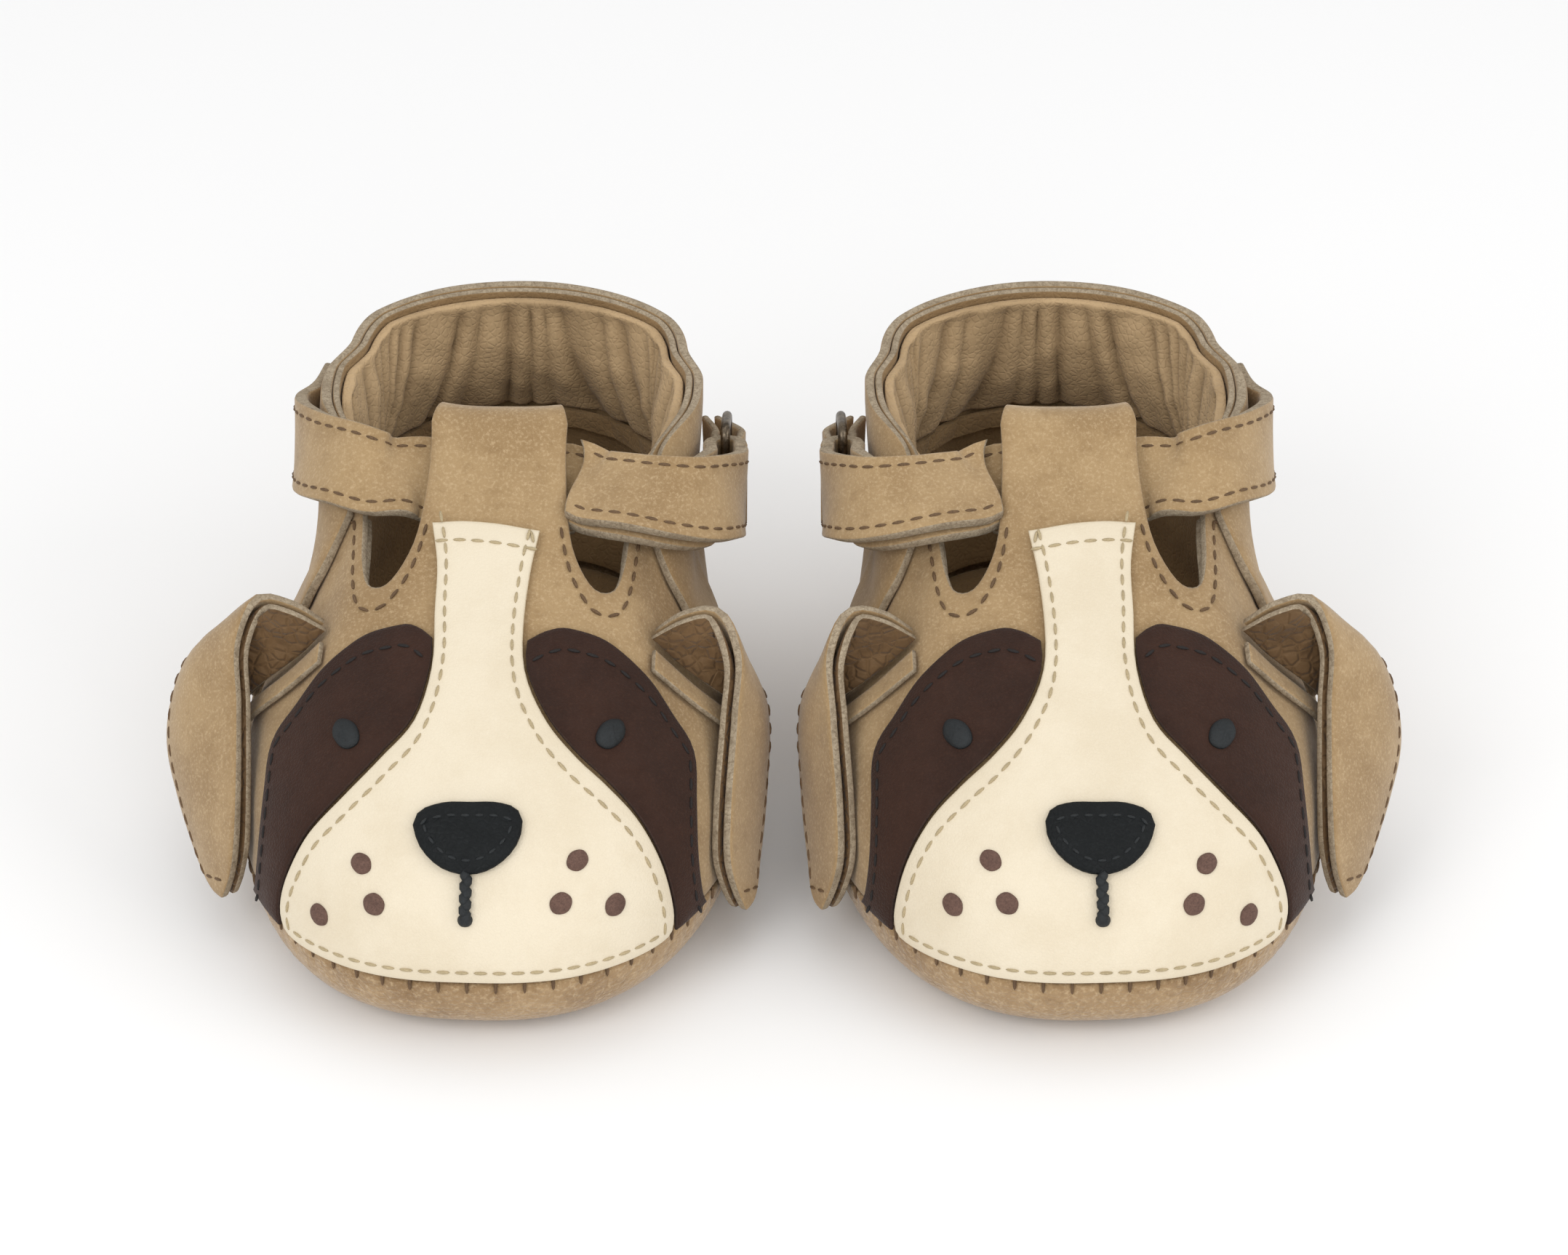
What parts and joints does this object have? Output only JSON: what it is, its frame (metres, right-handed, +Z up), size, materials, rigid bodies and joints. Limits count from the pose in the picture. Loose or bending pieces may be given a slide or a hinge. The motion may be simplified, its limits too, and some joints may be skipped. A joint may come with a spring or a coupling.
{
  "type": "baby bootie pair",
  "caption": "Pair of soft-soled leather baby booties with an animal face, floppy ears, T-bar loop and an instep strap that closes through a metal ring.",
  "frame": {"origin": "centre of the pair on the ground, at the middle of the bounding box's bottom", "axes": "+Z up, -Y towards the toes, +X to the right of someone facing the toes; left and right are as seen from the front"},
  "size_m": [0.1652, 0.1076, 0.0581],
  "materials": {
    "upper_leather": "nubuck, matt with a short nap",
    "suede": "suede, matt",
    "lining_leather": "soft grain, satin",
    "ear_lining_leather": "crumpled grain, satin",
    "cream_leather": "smooth, satin",
    "brown_leather": "smooth, satin",
    "black_leather": "smooth, satin",
    "black_thread": "close embroidery, satin",
    "foam": "soft padding, hidden",
    "elastic": "woven, hidden",
    "hook_and_loop": "hook and loop pile",
    "ring_metal": "dark antique plating, worn"
  },
  "bodies": {
    "left_bootie": {"left_outsole": "suede", "left_midsole": "foam", "left_sock_liner": "lining_leather", "left_vamp": "upper_leather", "left_vamp_lining": "lining_leather", "left_quarter": "upper_leather", "left_quarter_lining": "lining_leather", "left_collar": "lining_leather", "left_collar_elastic": "elastic", "left_strap": "upper_leather", "left_loop_patch": "hook_and_loop", "left_ring": "ring_metal", "left_ring_chape": "upper_leather", "left_outer_ear_welt": "upper_leather", "left_inner_ear_welt": "upper_leather", "left_muzzle": "cream_leather", "left_outer_eye_patch": "brown_leather", "left_inner_eye_patch": "brown_leather", "left_outer_eye": "black_thread", "left_inner_eye": "black_thread", "left_nose": "black_leather", "left_mouth": "black_thread"},
    "left_outer_ear_flap": {"left_outer_ear": "upper_leather", "left_outer_ear_lining": "ear_lining_leather"},
    "left_inner_ear_flap": {"left_inner_ear": "upper_leather", "left_inner_ear_lining": "ear_lining_leather"},
    "left_strap_end": {"left_strap_tail": "upper_leather", "left_hook_patch": "hook_and_loop"},
    "right_bootie": {"right_outsole": "suede", "right_midsole": "foam", "right_sock_liner": "lining_leather", "right_vamp": "upper_leather", "right_vamp_lining": "lining_leather", "right_quarter": "upper_leather", "right_quarter_lining": "lining_leather", "right_collar": "lining_leather", "right_collar_elastic": "elastic", "right_strap": "upper_leather", "right_loop_patch": "hook_and_loop", "right_ring": "ring_metal", "right_ring_chape": "upper_leather", "right_outer_ear_welt": "upper_leather", "right_inner_ear_welt": "upper_leather", "right_muzzle": "cream_leather", "right_outer_eye_patch": "brown_leather", "right_inner_eye_patch": "brown_leather", "right_outer_eye": "black_thread", "right_inner_eye": "black_thread", "right_nose": "black_leather", "right_mouth": "black_thread"},
    "right_outer_ear_flap": {"right_outer_ear": "upper_leather", "right_outer_ear_lining": "ear_lining_leather"},
    "right_inner_ear_flap": {"right_inner_ear": "upper_leather", "right_inner_ear_lining": "ear_lining_leather"},
    "right_strap_end": {"right_strap_tail": "upper_leather", "right_hook_patch": "hook_and_loop"}
  },
  "joints": [
    {"name": "left_outer_ear_lift", "type": "hinge", "parent": "left_bootie", "child": "left_outer_ear_flap", "pos_m": [-0.06546, -0.00968, 0.03108], "axis": [-0.6008, 0.1606, -0.7831], "range_deg": [0, 50], "stiffness_Nm_per_rad": 0.001},
    {"name": "left_inner_ear_lift", "type": "hinge", "parent": "left_bootie", "child": "left_inner_ear_flap", "pos_m": [-0.01139, -0.01281, 0.03017], "axis": [0.6121, 0.1097, -0.7831], "range_deg": [-10, 0], "stiffness_Nm_per_rad": 0.001},
    {"name": "left_strap_end_peel", "type": "hinge", "parent": "left_bootie", "child": "left_strap_end", "pos_m": [-0.00488, 0.01318, 0.04227], "axis": [0.0074, 0.2418, 0.9703], "range_deg": [0, 25]},
    {"name": "right_bootie_lift", "type": "slide", "parent": "left_bootie", "child": "right_bootie", "axis": [0, 0, 1], "range_m": [0, 0.09]},
    {"name": "right_outer_ear_lift", "type": "hinge", "parent": "right_bootie", "child": "right_outer_ear_flap", "pos_m": [0.06546, -0.00968, 0.03108], "axis": [-0.6008, -0.1606, 0.7831], "range_deg": [0, 50], "stiffness_Nm_per_rad": 0.001},
    {"name": "right_inner_ear_lift", "type": "hinge", "parent": "right_bootie", "child": "right_inner_ear_flap", "pos_m": [0.01139, -0.01281, 0.03017], "axis": [0.6121, -0.1097, 0.7831], "range_deg": [-10, 0], "stiffness_Nm_per_rad": 0.001},
    {"name": "right_strap_end_peel", "type": "hinge", "parent": "right_bootie", "child": "right_strap_end", "pos_m": [0.00488, 0.01318, 0.04227], "axis": [0.0074, -0.2418, -0.9703], "range_deg": [0, 25]}
  ]
}
